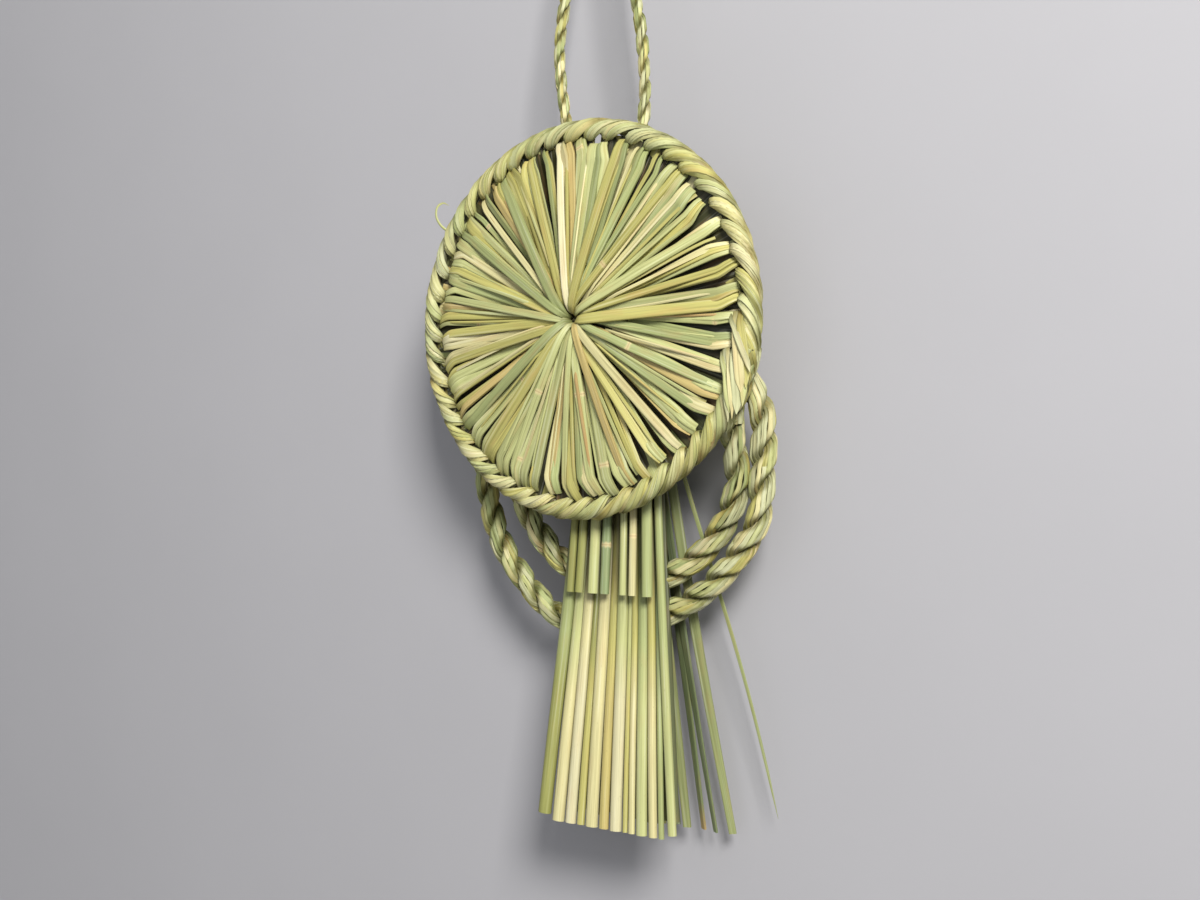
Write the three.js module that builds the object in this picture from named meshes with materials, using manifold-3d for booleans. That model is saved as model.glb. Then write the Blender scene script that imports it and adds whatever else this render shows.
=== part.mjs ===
// Straw wall ornament. A disc of radiating straws has a braided rim, whose tail runs on as a thick
// two-strand rope that makes two hanging turns. A bundle of straws is folded over the rope behind
// the disc, is tied below the fold, and hangs down as a skirt: its front half in front of the
// rope's turns and its back half behind them. A thin twisted cord holds it all up.
//
// Millimetres, +Z up, front towards -Y. The origin is the hang point: the inside of the top of
// the hanging cord's loop, where a hook carries it.

import * as THREE from 'three';
import { mergeVertices } from 'three/addons/utils/BufferGeometryUtils.js';
import Module from 'manifold-3d';

const wasm = await Module();
wasm.setup();

// Driving dimensions.
const DISC_CENTRE_Z = -154;
const RIM_PLANE_Y = -12;
const ROPE_PLANE_Y = 4;
const GAP = 0.35;

const RIM_RADIUS = 66; // to the middle of the braid
const RIM_DENT = 1.8; // the round is a little flat at its lower right
const RIM_DENT_ANGLE = THREE.MathUtils.degToRad(-52);
const RIM_DENT_SPREAD = THREE.MathUtils.degToRad(22);
const BRAID_RADIUS = 4;
const BRAID_LOBES = 48; // strands that cross the front of the braid, all the way round
const LOBE_HEIGHT = 0.4;

const DISC_RADIUS = 61.2;
const DISC_SPOKES = 60; // ridges of straws round the disc
const SPOKE_HEIGHT = 1.2;
const STUB_RADIUS = 8;

const ROPE_RADIUS = 4.5;
const CORD_RADIUS = 2.1;

const NECK_Z = -166; // top of the skirt's straws, under the fold
const NECK_X = 7.5;
const TIPS_Z = -331.5;
const STRAW_FLATNESS = 0.6; // depth of a straw over its width
const NECK_SQUEEZE = 0.46; // width of a straw in the neck over its width at the tip

const PALE = new THREE.Color('#c9c78a');
const CREAM = new THREE.Color('#dcd69c');
const GREEN = new THREE.Color('#a3b271');
const DARK_GREEN = new THREE.Color('#7f9160');
const GOLDEN = new THREE.Color('#cdb26c');

const group = new THREE.Group();

function add(name, geometry, colour) {
  const material = new THREE.MeshStandardMaterial({ color: colour, roughness: 0.75, metalness: 0 });
  const mesh = new THREE.Mesh(geometry, material);
  mesh.name = name;
  group.add(mesh);
  return mesh;
}

// How far the round disc and its rim fall short of a circle at an angle from +X towards +Z.
function dent(angle) {
  const away = Math.atan2(Math.sin(angle - RIM_DENT_ANGLE), Math.cos(angle - RIM_DENT_ANGLE));
  return RIM_DENT * Math.exp(-((away / RIM_DENT_SPREAD) ** 2));
}

// A closed ring. place(along, around) gives the surface point at two angles, both 0 to 2 pi.
function ringGeometry(stepsAlong, stepsAround, place) {
  const geometry = new THREE.TorusGeometry(2, 1, stepsAround, stepsAlong);
  const { position, uv } = geometry.attributes;
  for (let i = 0; i < position.count; i++) {
    const along = (uv.getX(i) % 1) * 2 * Math.PI;
    const around = (uv.getY(i) % 1) * 2 * Math.PI;
    position.setXYZ(i, ...place(along, around));
  }
  return geometry;
}

// A round tube along points, closed at both ends.
function tubeGeometry(points, radius, sides, steps) {
  const section = new THREE.Shape(
    Array.from({ length: sides }, (_, i) => {
      const angle = (i / sides) * 2 * Math.PI;
      return new THREE.Vector2(radius * Math.cos(angle), radius * Math.sin(angle));
    })
  );
  const route = new THREE.CatmullRomCurve3(points.map((p) => new THREE.Vector3(...p)));
  return new THREE.ExtrudeGeometry(section, { steps, extrudePath: route });
}

function toSolid(geometry) {
  const bare = geometry.clone();
  bare.deleteAttribute('normal');
  bare.deleteAttribute('uv');
  const merged = mergeVertices(bare);
  return new wasm.Manifold(
    new wasm.Mesh({
      numProp: 3,
      vertProperties: new Float32Array(merged.attributes.position.array),
      triVerts: new Uint32Array(merged.index.array),
    })
  );
}

function toGeometry(solid) {
  const { vertProperties, triVerts } = solid.getMesh();
  const geometry = new THREE.BufferGeometry();
  geometry.setAttribute('position', new THREE.BufferAttribute(new Float32Array(vertProperties), 3));
  geometry.setIndex(Array.from(triVerts));
  return geometry;
}

// The disc: a flat dome turned round the Y axis, with a small pit at the hub, a ridge for every
// spoke of straws, and at the back the stub where the straws' bound ends are gathered.
function strawDisc() {
  const profile = [
    [0, -17.5],
    [1.2, -17.5],
    [3, -19.8],
    [9, -20.4],
    [22, -19.6],
    [36, -18.2],
    [50, -16.2],
    [DISC_RADIUS, -13.6],
    [DISC_RADIUS, -10.8],
    [34, -10.2],
    [STUB_RADIUS, -9.5],
    [STUB_RADIUS - 0.5, -4.5],
    [0, -4.5],
  ].map(([radius, y]) => new THREE.Vector2(radius, y));
  const geometry = new THREE.LatheGeometry(profile, 2 * DISC_SPOKES);
  const { position } = geometry.attributes;
  for (let i = 0; i < position.count; i++) {
    const [x, y, z] = [position.getX(i), position.getY(i), position.getZ(i)];
    const radius = Math.hypot(x, z);
    if (radius < STUB_RADIUS + 0.1) continue;
    const angle = Math.atan2(z, x);
    const isRidge = Math.round((angle * DISC_SPOKES) / Math.PI) % 2 === 0;
    const outwards = y < RIM_PLANE_Y ? -1 : 0.6;
    const lift = (isRidge ? 0.5 : -0.5) * SPOKE_HEIGHT * Math.min(1, radius / 40);
    const shrink = 1 - dent(angle) / DISC_RADIUS;
    position.setXYZ(i, x * shrink, y + outwards * lift, z * shrink);
  }
  geometry.translate(0, 0, DISC_CENTRE_Z);
  return geometry;
}

// The rim: a two-strand braid closed on itself, joined to the tail where the rope begins.
const TAIL_ROUTE = [
  [65.6, -12, -166],
  [63.7, -11, -171.5],
  [60.2, -8, -178],
  [56.3, -4.6, -183],
  [54.7, -3.5, -185.9],
];

function braidedRim() {
  const braid = ringGeometry(4 * BRAID_LOBES, 8, (along, around) => {
    const radius = BRAID_RADIUS + LOBE_HEIGHT * Math.cos(2 * around - BRAID_LOBES * along);
    const reach = RIM_RADIUS - dent(along) + radius * Math.cos(around);
    return [
      reach * Math.cos(along),
      RIM_PLANE_Y - radius * Math.sin(around),
      DISC_CENTRE_Z + reach * Math.sin(along),
    ];
  });
  const tail = tubeGeometry(TAIL_ROUTE, BRAID_RADIUS, 10, 6);
  return toGeometry(toSolid(braid).add(toSolid(tail)));
}

// The rope's middle line, from the braid's tail: down the right, the inner turn, up behind the
// disc and over, the outer turn, and up behind the disc again to its end inside the fold.
const ROPE_ROUTE = [
  [54.2, -2.4, -189],
  [54.0, -1.6, -194],
  [54.6, 0, -201.5],
  [54.2, 2, -210],
  [51.9, 3, -218],
  [48, 4, -224.5],
  [38.6, 4, -236],
  [25, 4, -244],
  [9, 4, -248],
  [-6, 4, -246],
  [-17.8, 4, -240.7],
  [-27, 4, -233],
  [-36, 4, -220],
  [-41, 4, -205],
  [-41, 4, -189],
  [-36.5, 4, -175],
  [-27, 4, -163.5],
  [-13, 4, -155.5],
  [3, 4, -152.5],
  [20, 4, -153.5],
  [36, 4, -159],
  [48.5, 3.6, -167.5],
  [58, 3, -177.5],
  [62.2, 2.5, -184],
  [63.6, 2.4, -193],
  [62.6, 3.4, -207],
  [61, 4, -222.5],
  [53.5, 4, -235],
  [40, 4, -248.5],
  [25, 4, -257],
  [8, 4, -262.5],
  [-8, 4, -263.5],
  [-23.2, 4, -259],
  [-36, 4, -248.5],
  [-46.3, 4, -235.5],
  [-52.5, 4, -219],
  [-55, 4, -203],
  [-53, 4, -186],
  [-45.5, 4, -168],
  [-33, 4, -154],
  [-17, 4, -145.5],
  [-1, 4, -142.3],
  [15, 4, -142.5],
];

// The hanging cord's middle line, from the knot up the left, over the hook and down the right.
const CORD_ROUTE = [
  [0.5, 2, -122.6],
  [-4, 1, -112],
  [-9.5, 0, -98],
  [-14.6, 0, -79],
  [-17.4, 0, -57],
  [-16.4, 0, -44],
  [-14.3, 0, -33],
  [-12, 0, -20],
  [-10, 0, -8.4],
  [-6.9, 0, -1],
  [0.5, 0, 2.1],
  [7.9, 0, -1],
  [11, 0, -8.4],
  [12.4, 0, -20],
  [13.8, 0, -31],
  [15.2, 0, -41],
  [17.2, 0, -52],
  [18.4, 0, -63],
  [18.8, 0, -78],
  [17, 0, -92],
  [12, 1, -108],
  [5.8, 2, -122.6],
];

// The fold of the skirt's bundle over the rope: a loop of straws with the rope's two passes
// through it, narrowing to the neck. Drawn in the YZ plane and run along X.
const FOLD_WIDTH = 27;
const FOLD_HOLE_RADIUS = 5.6;
const FOLD_THICKNESS = 2.4;
const FOLD_PASSES_Z = [-142.6, -153.6];

function skirtFold() {
  const [upper, lower] = FOLD_PASSES_Z;
  const outerRadius = FOLD_HOLE_RADIUS + FOLD_THICKNESS;
  const outline = new THREE.Shape();
  outline.absarc(0, upper, outerRadius, 0, Math.PI, false);
  outline.lineTo(-outerRadius, lower);
  outline.quadraticCurveTo(-outerRadius, lower - 7, -4.2, NECK_Z + GAP);
  outline.lineTo(4.2, NECK_Z + GAP);
  outline.quadraticCurveTo(outerRadius, lower - 7, outerRadius, lower);
  const hole = new THREE.Path();
  hole.absarc(0, upper, FOLD_HOLE_RADIUS, 0, Math.PI, false);
  hole.absarc(0, lower, FOLD_HOLE_RADIUS, Math.PI, 2 * Math.PI, false);
  outline.holes.push(hole);
  const geometry = new THREE.ExtrudeGeometry(outline, {
    depth: FOLD_WIDTH,
    bevelEnabled: false,
    curveSegments: 8,
  });
  // Shape x becomes Y, shape y becomes Z, and the depth runs along X.
  const basis = new THREE.Matrix4().set(0, 0, 1, 0, 1, 0, 0, 0, 0, 1, 0, 0, 0, 0, 0, 1);
  geometry.applyMatrix4(basis);
  geometry.translate(NECK_X - FOLD_WIDTH / 2, ROPE_PLANE_Y, 0);
  return geometry;
}

// The tie round the neck: turns of cord that lie as one band, oblong with round corners.
const TIE_INSIDE = [15.6, 4.9];
const TIE_THICKNESS = 1.6;
const TIE_HEIGHT = 7;
const TIE_Y = 2.1;

function skirtTie() {
  const centreZ = NECK_Z - 1.5 - TIE_HEIGHT / 2;
  const rounded = (value) => Math.sign(value) * Math.sqrt(Math.abs(value));
  return ringGeometry(32, 8, (along, around) => {
    const outward = (TIE_THICKNESS / 2) * (1 + Math.cos(around));
    return [
      NECK_X + (TIE_INSIDE[0] + outward) * rounded(Math.cos(along)),
      TIE_Y + (TIE_INSIDE[1] + outward) * rounded(Math.sin(along)),
      centreZ + (TIE_HEIGHT / 2) * rounded(Math.sin(around)),
    ];
  });
}

// One straw of the skirt, from its top in the neck to its cut tip, thinner at the top. bow
// pushes its middle sideways.
function straw(name, top, tip, width, colour, { topWidth = width * NECK_SQUEEZE, bow = 0 } = {}) {
  const from = new THREE.Vector3(...top);
  const to = new THREE.Vector3(...tip);
  const length = from.distanceTo(to);
  const geometry = new THREE.CylinderGeometry(topWidth / 2, width / 2, length, 6, bow ? 4 : 1);
  geometry.scale(1, 1, STRAW_FLATNESS);
  const { position } = geometry.attributes;
  for (let i = 0; i < position.count; i++) {
    const t = position.getY(i) / length + 0.5;
    position.setX(i, position.getX(i) + 4 * bow * t * (1 - t));
  }
  const mesh = add(name, geometry, colour);
  mesh.position.copy(from).lerp(to, 0.5);
  const up = from.clone().sub(to).normalize();
  mesh.quaternion.setFromUnitVectors(new THREE.Vector3(0, 1, 0), up);
}

const label = (stem, i) => `${stem}_${String(i + 1).padStart(2, '0')}`;

// Long straws of the front, side by side from the left. Each takes a little more room than its
// width, and the bundle draws together towards the neck.
const LONG_WIDTHS = [5.3, 4.7, 4.2, 3.0, 4.7, 3.8, 4.5, 1.9, 2.6, 4.2, 3.4, 2.2];
const LONG_COLOURS = [GREEN, CREAM, GOLDEN, PALE, CREAM, GOLDEN, CREAM, GREEN, PALE, PALE, CREAM, GREEN];
const LONG_ROOM = 1.19;
const LONG_LEFT_X = -20.6;
const LONG_NECK_SPREAD = 0.49;

function longStraws() {
  const middle = LONG_LEFT_X + (LONG_ROOM * LONG_WIDTHS.reduce((a, b) => a + b)) / 2;
  let left = LONG_LEFT_X;
  LONG_WIDTHS.forEach((width, i) => {
    const tipX = left + (LONG_ROOM * width) / 2;
    left += LONG_ROOM * width;
    const topX = NECK_X + (tipX - middle) * LONG_NECK_SPREAD;
    const tipZ = i === 0 ? TIPS_Z + 2 : TIPS_Z;
    straw(label('front_long_straw', i), [topX, 2, NECK_Z], [tipX, -9.3, tipZ], width, LONG_COLOURS[i]);
  });
}

// Short straws over them: place of the cut end along X, and width.
const SHORT_STRAWS = [
  [-8.0, 3.0],
  [-4.2, 3.6],
  [1.6, 4.2],
  [6.5, 3.8],
  [14.0, 3.0],
  [17.9, 3.0],
  [24.0, 4.2],
];
const SHORT_TIPS_Z = -250;

function shortStraws() {
  SHORT_STRAWS.forEach(([tipX, width], i) => {
    const topX = NECK_X + (tipX - 8) * 0.78;
    const top = [topX, -0.6, NECK_Z];
    straw(label('front_short_straw', i), top, [tipX, -7, SHORT_TIPS_Z], width, PALE, {
      topWidth: width * 0.6,
    });
  });
}

// The right-hand straw of the front runs down straight and then bends outwards.
function rightStraw() {
  straw('front_right_straw', [21.7, 1.6, NECK_Z], [34.6, -8.6, TIPS_Z + 1.5], 3.4, GREEN, { bow: -0.5 });
}

// Back straws, behind the rope's turns, flared to the right: place of the tip along X, and width.
const BACK_STRAWS = [
  [-13, 3.6],
  [-8, 3.4],
  [-3, 3.8],
  [2, 3.2],
  [7, 3.8],
  [12, 3.4],
  [17, 3.6],
  [22, 3.4],
  [27, 3.8],
  [33, 3.6],
  [38.5, 3.4],
  [44.5, 3.4],
];
const BACK_TIPS_Z = -334;

function backStraws() {
  BACK_STRAWS.forEach(([tipX, width], i) => {
    const topX = NECK_X + (i - (BACK_STRAWS.length - 1) / 2) * 2.15;
    const top = [topX, 4.8, NECK_Z];
    straw(label('back_straw', i), top, [tipX, 17, BACK_TIPS_Z], width, DARK_GREEN);
  });
}

function looseBlade() {
  straw('loose_blade', [20.5, 8.2, NECK_Z - 14], [62, 17, -326], 1.2, GREEN, { topWidth: 1.8, bow: 1 });
}

// The knot that ties the hanging cord to the fold.
function cordKnot() {
  const geometry = new THREE.SphereGeometry(5, 12, 8);
  geometry.scale(1.25, 0.9, 1);
  geometry.translate(3.2, 3, -129.4);
  return geometry;
}

add('straw_disc', strawDisc(), PALE);
add('braided_rim', braidedRim(), PALE);
add('rope_loops', tubeGeometry(ROPE_ROUTE, ROPE_RADIUS, 10, 52), GREEN);
add('hanging_cord', tubeGeometry(CORD_ROUTE, CORD_RADIUS, 8, 44), GREEN);
add('cord_knot', cordKnot(), GREEN);
add('skirt_fold', skirtFold(), GREEN);
add('skirt_tie', skirtTie(), GREEN);
longStraws();
shortStraws();
rightStraw();
backStraws();
looseBlade();

export default group;
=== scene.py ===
# %% [markdown]
# # A straw wall ornament
# Rush straws spread from a bound hub into a disc. Their ends are braided into a rim, the braid
# runs on as a thick two-strand rope in two hanging turns, and a folded bundle of straws hangs
# below as a skirt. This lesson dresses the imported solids: each solid keeps its place and size,
# and detailed straws take its place in the picture.

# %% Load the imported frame
import math

import bpy
import numpy as np
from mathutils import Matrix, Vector


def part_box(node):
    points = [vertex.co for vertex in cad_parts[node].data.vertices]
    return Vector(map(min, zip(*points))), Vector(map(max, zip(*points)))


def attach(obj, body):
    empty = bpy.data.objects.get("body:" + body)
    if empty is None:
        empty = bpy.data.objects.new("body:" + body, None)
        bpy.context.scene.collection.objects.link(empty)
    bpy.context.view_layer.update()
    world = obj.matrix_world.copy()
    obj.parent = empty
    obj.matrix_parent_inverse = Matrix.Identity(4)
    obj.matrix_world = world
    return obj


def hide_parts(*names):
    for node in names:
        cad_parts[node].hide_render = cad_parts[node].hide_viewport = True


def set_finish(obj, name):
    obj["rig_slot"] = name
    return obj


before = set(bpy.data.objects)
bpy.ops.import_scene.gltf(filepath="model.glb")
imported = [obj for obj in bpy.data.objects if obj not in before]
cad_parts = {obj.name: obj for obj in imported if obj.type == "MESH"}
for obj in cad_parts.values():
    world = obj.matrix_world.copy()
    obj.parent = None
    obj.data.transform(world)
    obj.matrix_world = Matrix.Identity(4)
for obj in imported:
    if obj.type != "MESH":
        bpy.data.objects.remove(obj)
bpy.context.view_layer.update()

MM = 0.001
print("solids in the frame:", len(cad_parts))

# %% [markdown]
# ## Reading sizes from the solids
# A node's box says where it is. For a slanted straw the box isn't enough, so its two ends are
# read from its own corners. Everything below is worked out in millimetres and turned into
# metres only where points are written into a mesh.

# %% Sizes of the disc, the rim and the rope
def box_mm(node):
    low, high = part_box(node)
    return np.array(low) / MM, np.array(high) / MM


def ends_mm(node):
    """The middle of a straw's top, the middle of its tip, and its width there."""
    corners = np.array([v.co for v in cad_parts[node].data.vertices]) / MM
    high, low = corners[:, 2].max(), corners[:, 2].min()
    top = corners[corners[:, 2] > high - 1.5]
    tip = corners[corners[:, 2] < low + 1.5]
    return top.mean(axis=0), tip.mean(axis=0), np.ptp(tip[:, 0])


disc_low, disc_high = box_mm("straw_disc")
DISC_RADIUS = disc_high[0]
DISC_CENTRE_Z = disc_high[2] - DISC_RADIUS
rim_low, rim_high = box_mm("braided_rim")
BRAID_RADIUS = 4.4
RIM_RADIUS = rim_high[0] - BRAID_RADIUS
RIM_PLANE_Y = rim_low[1] + BRAID_RADIUS
print(f"disc {2 * DISC_RADIUS:.0f} mm across, rim {2 * rim_high[0]:.0f} mm across")

# The round is a little flat at its lower right.
DENT = 1.8
DENT_ANGLE = math.radians(-52)
DENT_SPREAD = math.radians(22)


def dent(angle):
    away = np.arctan2(np.sin(angle - DENT_ANGLE), np.cos(angle - DENT_ANGLE))
    return DENT * np.exp(-((away / DENT_SPREAD) ** 2))


# %% [markdown]
# ## The camera
# The ornament is seen from its right at eye height, from half a metre, with a lens a little
# longer than a normal one. The camera stands on a circle round the disc and looks level.

# %% Place the camera
VIEW_TURN = math.radians(33)
VIEW_DISTANCE = 467
view_right = np.array([math.cos(VIEW_TURN), math.sin(VIEW_TURN), 0])
view_ahead = np.array([-math.sin(VIEW_TURN), math.cos(VIEW_TURN), 0])
disc_centre = np.array([0, RIM_PLANE_Y, DISC_CENTRE_Z])
look_at = disc_centre + 6.65 * view_right + np.array([0, 0, -45.5])

bpy.ops.object.camera_add(
    location=Vector((look_at - VIEW_DISTANCE * view_ahead) * MM),
    rotation=(math.pi / 2, 0, VIEW_TURN),
)
camera = bpy.context.object
camera.name = "camera"
camera.data.lens = 40
camera.data.sensor_width = 36
camera.data.clip_start = 0.01
bpy.context.scene.camera = camera

# %% [markdown]
# ## One straw, many straws
# A straw is modelled once, upright and one unit long, and copied. There are two kinds. A whole
# culm is a tube: a cylinder whose ends are inset and pushed in, because a cut straw is hollow.
# A pressed straw is a tube that was flattened: a box with its long edges bevelled and a crease
# pressed into its front. The long edges of both are subdivided into rings, so that they can
# bend.

# %% Model the two kinds of straw
def deselect_all():
    if bpy.context.object and bpy.context.object.mode == "EDIT":
        bpy.ops.object.mode_set(mode="OBJECT")
    bpy.ops.object.select_all(action="DESELECT")


def select_parts(mesh, kind, wanted):
    """Selects the edges or faces of the mesh in edit mode for which wanted says yes."""
    bpy.ops.object.mode_set(mode="EDIT")
    bpy.ops.mesh.select_mode(type=kind)
    bpy.ops.mesh.select_all(action="DESELECT")
    bpy.ops.object.mode_set(mode="OBJECT")
    for part in mesh.edges if kind == "EDGE" else mesh.polygons:
        part.select = bool(wanted(part))
    bpy.ops.object.mode_set(mode="EDIT")


def edge_ends(mesh, edge):
    return [mesh.vertices[i].co for i in edge.vertices]


def is_long(mesh, edge):
    low, high = edge_ends(mesh, edge)
    return abs(high.z - low.z) > 0.5


def add_rings(mesh, rings):
    select_parts(mesh, "EDGE", lambda edge: is_long(mesh, edge))
    bpy.ops.mesh.subdivide(number_cuts=rings)
    bpy.ops.object.mode_set(mode="OBJECT")


def model_culm(name, sides, rings, hollow=False):
    deselect_all()
    bpy.ops.mesh.primitive_cylinder_add(vertices=sides, radius=0.5, depth=1, location=(0, 0, 0.5))
    straw = bpy.context.object
    straw.name = name
    bpy.ops.object.transform_apply(location=True)
    add_rings(straw.data, rings)
    if hollow:
        select_parts(straw.data, "FACE", lambda face: abs(face.normal.z) > 0.9)
        bpy.ops.mesh.inset(thickness=0.1)
        for end in (1, -1):
            select_parts(
                straw.data, "FACE", lambda face: face.normal.z * end > 0.9 and face.area > 0.1
            )
            bpy.ops.mesh.extrude_region_move(
                TRANSFORM_OT_translate={"value": (0, 0, -0.012 * end)}
            )
        bpy.ops.object.mode_set(mode="OBJECT")
    return straw


def model_pressed_straw(name, rings, bevel_segments):
    deselect_all()
    bpy.ops.mesh.primitive_cube_add(size=1, location=(0, 0, 0.5))
    straw = bpy.context.object
    straw.name = name
    bpy.ops.object.transform_apply(location=True)
    mesh = straw.data

    def across_front(edge):
        start, end = edge_ends(mesh, edge)
        return start.y > 0.4 and end.y > 0.4 and abs(start.x - end.x) > 0.5

    select_parts(mesh, "EDGE", across_front)
    bpy.ops.mesh.subdivide(number_cuts=1)

    def middle_of_front(edge):
        return all(abs(co.x) < 0.1 for co in edge_ends(mesh, edge))

    select_parts(mesh, "EDGE", middle_of_front)
    bpy.ops.transform.translate(value=(-0.08, -0.13, 0))
    select_parts(mesh, "EDGE", lambda edge: is_long(mesh, edge) and not middle_of_front(edge)
                 and abs(edge_ends(mesh, edge)[0].x) > 0.4)
    bpy.ops.mesh.bevel(offset=0.24, segments=bevel_segments, profile=0.5)
    bpy.ops.object.mode_set(mode="OBJECT")
    add_rings(mesh, rings)
    return straw


culm = model_culm("culm_pattern", sides=12, rings=14, hollow=True)
split_straw = model_culm("split_pattern", sides=8, rings=22)
rope_straw = model_culm("rope_pattern", sides=6, rings=72)
thin_split_straw = model_culm("thin_pattern", sides=6, rings=14)
pressed_straw = model_pressed_straw("pressed_pattern", rings=16, bevel_segments=2)
patterns = [culm, split_straw, rope_straw, thin_split_straw, pressed_straw]
for pattern in patterns:
    print(pattern.name, len(pattern.data.polygons), "faces")

# %% [markdown]
# ## Laying a copy along a line
# A copy is laid by moving its corners: its height picks the place along the line, and its
# section is turned to face outwards and made as wide and as deep as the straw is there. Each
# copy carries what the material reads: its colour, grain coordinates in millimetres, how near
# a corner is to the straw's edge, and how far it is from the straw's joint.

# %% Lay and join straws
NO_JOINT = 900.0
rng = np.random.default_rng(7)


def unit(vectors):
    return vectors / np.maximum(np.linalg.norm(vectors, axis=-1, keepdims=True), 1e-9)


def set_attribute(mesh, name, kind, values):
    attribute = mesh.attributes.new(name, kind, "POINT")
    key = {"FLOAT": "value", "FLOAT_VECTOR": "vector", "FLOAT_COLOR": "color"}[kind]
    attribute.data.foreach_set(key, np.asarray(values, np.float32).ravel())


def spread(values, place):
    """Values given from a straw's start to its end, read at places from 0 to 1."""
    values = np.atleast_1d(np.asarray(values, float))
    return np.interp(place, np.linspace(0, 1, len(values)), values)


def lay(pattern, line, outwards, width, depth, colour, joint_at=None, tip=None, roll=0.0):
    """A copy of a straw on the points of line, its front facing outwards. width, depth, roll
    and colour may change from start to end. tip is the length of a pointed end."""
    line = np.asarray(line, float)
    outwards = np.broadcast_to(np.asarray(outwards, float), line.shape)
    steps = np.linalg.norm(np.diff(line, axis=0), axis=1)
    distance = np.concatenate([[0], np.cumsum(steps)])
    ahead = unit(np.gradient(line, axis=0))
    side = unit(np.cross(outwards, ahead))
    front = np.cross(ahead, side)

    straw = pattern.copy()
    straw.data = pattern.data.copy()
    bpy.context.collection.objects.link(straw)
    mesh = straw.data
    corner = np.zeros(len(mesh.vertices) * 3)
    mesh.vertices.foreach_get("co", corner)
    corner = corner.reshape(-1, 3)
    place = corner[:, 2]
    index = np.clip(place, 0, 1) * (len(line) - 1)
    at = np.interp(index, np.arange(len(line)), distance)

    def along(values):
        return np.stack([np.interp(index, np.arange(len(line)), v) for v in values.T], axis=1)

    wide, deep = spread(width, place), spread(depth, place)
    if tip:
        wide = wide * np.clip((distance[-1] - at) / tip, 0.03, 1) ** 0.8
        deep = deep * np.clip((distance[-1] - at) / tip, 0.25, 1)
    from_joint = np.full(len(at), NO_JOINT)
    if joint_at is not None:
        from_joint = at - joint_at
        bump = 1 + 0.12 * np.exp(-((from_joint / 0.8) ** 2))
        wide, deep = wide * bump, deep * bump
    across, up = corner[:, 0] * wide, corner[:, 1] * deep
    turn = spread(roll, place)
    turned_across = across * np.cos(turn) - up * np.sin(turn)
    turned_up = across * np.sin(turn) + up * np.cos(turn)
    # The pushed-in bottom of a hollow end lies below the end of the line.
    placed = along(line) + along(side) * turned_across[:, None] + along(front) * turned_up[:, None]
    mesh.vertices.foreach_set("co", (placed * MM).ravel())
    colour = np.atleast_2d(colour)
    tint = [spread(colour[:, k], place) for k in range(3)]
    start = rng.uniform(0, 500, 3)
    set_attribute(mesh, "grain", "FLOAT_VECTOR", np.stack([across, up, at], axis=1) + start)
    set_attribute(mesh, "edge", "FLOAT", np.clip(2 * np.abs(corner[:, 0]), 0, 1))
    set_attribute(mesh, "from_joint", "FLOAT", from_joint)
    set_attribute(mesh, "straw_colour", "FLOAT_COLOR", np.stack([*tint, np.ones(len(at))], axis=1))
    return straw


def join(name, straws):
    """The straws as one piece, smooth along each straw and crisp at its folds."""
    deselect_all()
    for straw in straws:
        straw.select_set(True)
    bpy.context.view_layer.objects.active = straws[0]
    bpy.ops.object.join()
    piece = bpy.context.object
    piece.name = name
    bpy.ops.object.shade_smooth_by_angle(angle=math.radians(42))
    print(f"{name}: {len(straws)} straws, {len(piece.data.polygons)} faces")
    return piece


# %% [markdown]
# ## Colours of dried straw
# Dried straw isn't one colour: the outer culms are pale green, the inner ones cream, and a few
# have ripened to gold or stayed olive. Each straw draws one of these tones and a small change
# of brightness, with a seeded generator, so that every run draws the same.

# %% Tones
def linear(red, green, blue):
    """A colour given in everyday 0 to 255 values, as the shader's linear values."""
    value = np.array([red, green, blue]) / 255
    return np.where(value <= 0.04045, value / 12.92, ((value + 0.055) / 1.055) ** 2.4)


PALE_GREEN = linear(189, 192, 131)
YELLOW_GREEN = linear(186, 180, 106)
CREAM = linear(212, 204, 150)
IVORY = linear(218, 211, 168)
GOLD = linear(202, 182, 118)
LEAF_GREEN = linear(166, 174, 116)
OLIVE = linear(146, 147, 84)
SAGE = linear(128, 141, 98)
TAN = linear(186, 158, 104)
HAY = linear(194, 195, 150)
# A dark tint that paints shade into grooves and hollows.
PAINTED_GROOVE_SHADE = linear(92, 88, 44)


def tone(tones, weights, change=0.1):
    picked = tones[rng.choice(len(tones), p=np.array(weights) / sum(weights))]
    return np.clip(picked * (1 + rng.uniform(-change, change)), 0, 1)


def disc_tone():
    tones = [PALE_GREEN, YELLOW_GREEN, CREAM, IVORY, GOLD, LEAF_GREEN]
    return tone(tones, [7, 5, 3, 0.5, 0.6, 3])


def braid_tone():
    return tone([HAY, PALE_GREEN, YELLOW_GREEN, CREAM, LEAF_GREEN], [4, 4, 3, 2, 2])


def rope_tone():
    return tone([HAY, PALE_GREEN, YELLOW_GREEN, CREAM, LEAF_GREEN], [4, 4, 2.5, 2, 2.5])


def with_painted_shade(colour, depth):
    """A straw's colour, darkened with painted shade where it runs down into a groove, a pit or
    under a neighbour (depth from 0 to 1).
    """
    share = np.clip(depth, 0, 1)[:, None] * 0.75
    return colour * (1 - share) + colour * PAINTED_GROOVE_SHADE * 2 * share
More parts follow.
